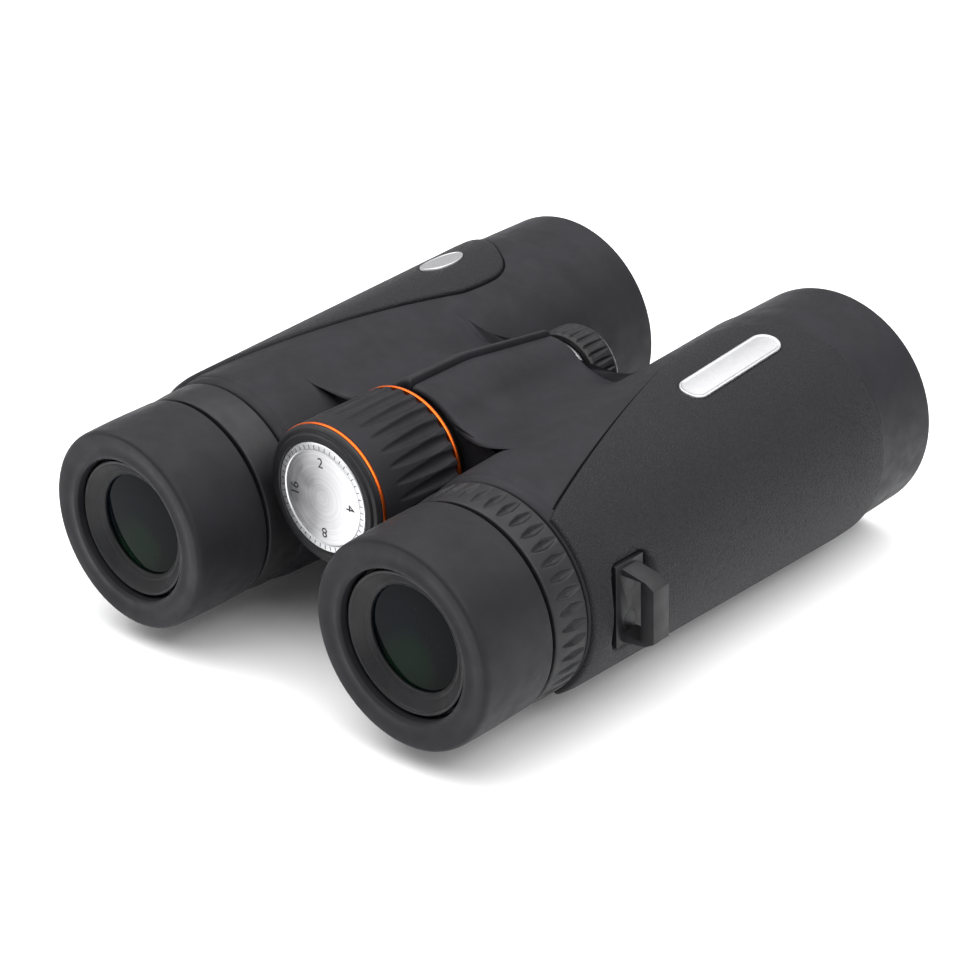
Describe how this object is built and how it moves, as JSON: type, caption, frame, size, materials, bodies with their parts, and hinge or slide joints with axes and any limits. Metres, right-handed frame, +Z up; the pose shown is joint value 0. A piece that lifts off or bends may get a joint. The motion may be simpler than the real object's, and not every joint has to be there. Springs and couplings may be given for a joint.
{
  "type": "binoculars",
  "caption": "Hinged roof-prism binoculars with rubber armour, ribbed dioptre ring, centre focus knob, twist-up eyecups, strap lugs and a capped tripod socket.",
  "frame": {"origin": "bottom centre of the whole object, lying on its barrels with the hinge fully open", "axes": "+Y along the optical axes from the eyecups to the objectives, +X towards the right barrel, +Z up"},
  "size_m": [0.133, 0.1382, 0.053],
  "materials": {
    "cast_body": "cast, with fine satin black paint",
    "smooth_rubber": "smooth matt rubber",
    "grip_rubber": "rubber with a fine leather grain",
    "eyecup_rubber": "soft-touch rubber",
    "black_plastic": "moulded, satin",
    "optical_glass": "polished",
    "coated_glass": "polished, green anti-reflection coating",
    "black_aluminium": "black anodised",
    "brass": "turned",
    "steel": "ground",
    "orange_anodised": "orange anodised, satin",
    "silver_disc": "fine-blasted silver",
    "plate_metal": "satin silver with a raised edge"
  },
  "bodies": {
    "right_half": {"right_body_tube": "cast_body", "right_armour": "smooth_rubber", "right_grip_panel": "grip_rubber", "right_name_plate": "plate_metal", "right_strap_lug": "black_plastic", "right_lug_screws": "steel", "right_objective_crown": "coated_glass", "right_objective_flint": "optical_glass", "right_objective_ring": "black_aluminium", "right_prism_cage": "black_plastic", "right_roof_prism": "optical_glass", "right_half_penta_prism": "optical_glass", "right_eyepiece_housing": "black_plastic", "right_eye_lens": "coated_glass", "right_middle_lens": "optical_glass", "hinge_tube": "steel", "hinge_nut": "black_aluminium", "tripod_bushing": "steel", "spindle_bearing": "brass"},
    "left_half": {"left_body_tube": "cast_body", "left_armour": "smooth_rubber", "left_grip_panel": "grip_rubber", "left_badge": "plate_metal", "left_strap_lug": "black_plastic", "left_lug_screws": "steel", "left_objective_crown": "coated_glass", "left_objective_flint": "optical_glass", "left_objective_ring": "black_aluminium", "left_prism_cage": "black_plastic", "left_roof_prism": "optical_glass", "left_half_penta_prism": "optical_glass", "left_eyepiece_housing": "black_plastic", "left_eye_lens": "coated_glass", "left_middle_lens": "optical_glass", "left_field_lens": "optical_glass", "left_fixed_ring": "black_plastic", "hinge_bushes": "brass"},
    "focus_knob": {"knob_hub": "black_plastic", "knob_grip": "grip_rubber", "knob_disc": "silver_disc", "knob_ring_eyepiece_end": "orange_anodised", "knob_ring_bridge_end": "orange_anodised", "knob_lock_ring": "black_plastic", "focus_spindle": "steel", "spindle_circlip": "steel"},
    "focus_follower": {"focus_follower": "brass"},
    "right_focus_cell": {"right_focus_cell": "black_aluminium", "right_focus_lens": "optical_glass"},
    "left_focus_cell": {"left_focus_cell": "black_aluminium", "left_focus_lens": "optical_glass"},
    "dioptre_ring": {"dioptre_ring": "black_plastic"},
    "dioptre_cell": {"dioptre_cell": "black_aluminium", "dioptre_lens": "optical_glass"},
    "right_eyecup_guide": {"right_eyecup_guide": "black_plastic"},
    "right_eyecup": {"right_eyecup_core": "black_plastic", "right_eyecup_rubber": "eyecup_rubber"},
    "left_eyecup_guide": {"left_eyecup_guide": "black_plastic"},
    "left_eyecup": {"left_eyecup_core": "black_plastic", "left_eyecup_rubber": "eyecup_rubber"},
    "tripod_cap": {"tripod_cap": "black_plastic"}
  },
  "joints": [
    {"name": "hinge_fold", "type": "hinge", "parent": "right_half", "child": "left_half", "pos_m": [0, 0, 0.0376], "axis": [0, -1, 0], "range_deg": [0, 53]},
    {"name": "focus_turn", "type": "hinge", "parent": "right_half", "child": "focus_knob", "pos_m": [0, 0, 0.0376], "axis": [0, 1, 0], "range_deg": [0, 540]},
    {"name": "follower_slide", "type": "slide", "parent": "right_half", "child": "focus_follower", "axis": [0, 1, 0], "range_m": [0, 0.005]},
    {"name": "right_focus_slide", "type": "slide", "parent": "right_half", "child": "right_focus_cell", "axis": [0, 1, 0], "range_m": [0, 0.005]},
    {"name": "left_focus_slide", "type": "slide", "parent": "left_half", "child": "left_focus_cell", "axis": [0, 1, 0], "range_m": [0, 0.005]},
    {"name": "dioptre_turn", "type": "hinge", "parent": "right_half", "child": "dioptre_ring", "pos_m": [0.0371, -0.05013, 0.0262], "axis": [0, 1, 0], "range_deg": [-50, 50]},
    {"name": "dioptre_slide", "type": "slide", "parent": "right_half", "child": "dioptre_cell", "axis": [0, 1, 0], "range_m": [-0.0012, 0.0012]},
    {"name": "right_eyecup_slide", "type": "slide", "parent": "right_half", "child": "right_eyecup_guide", "axis": [0, -1, 0], "range_m": [0, 0.009]},
    {"name": "right_eyecup_turn", "type": "hinge", "parent": "right_eyecup_guide", "child": "right_eyecup", "pos_m": [0.0371, -0.06913, 0.0262], "axis": [0, -1, 0], "range_deg": [0, 270]},
    {"name": "left_eyecup_slide", "type": "slide", "parent": "left_half", "child": "left_eyecup_guide", "axis": [0, -1, 0], "range_m": [0, 0.009]},
    {"name": "left_eyecup_turn", "type": "hinge", "parent": "left_eyecup_guide", "child": "left_eyecup", "pos_m": [-0.0371, -0.06913, 0.0262], "axis": [0, -1, 0], "range_deg": [0, 270]},
    {"name": "tripod_cap_slide", "type": "slide", "parent": "right_half", "child": "tripod_cap", "axis": [0, 1, 0], "range_m": [0, 0.03]}
  ],
  "couplings": [
    {"joint": "follower_slide", "follows": "focus_turn", "m_per_rad": 0.0005305},
    {"joint": "right_focus_slide", "follows": "focus_turn", "m_per_rad": 0.0005305},
    {"joint": "left_focus_slide", "follows": "focus_turn", "m_per_rad": 0.0005305},
    {"joint": "dioptre_slide", "follows": "dioptre_turn", "m_per_rad": 0.001375},
    {"joint": "right_eyecup_slide", "follows": "right_eyecup_turn", "m_per_rad": 0.0019098},
    {"joint": "left_eyecup_slide", "follows": "left_eyecup_turn", "m_per_rad": 0.0019098}
  ]
}
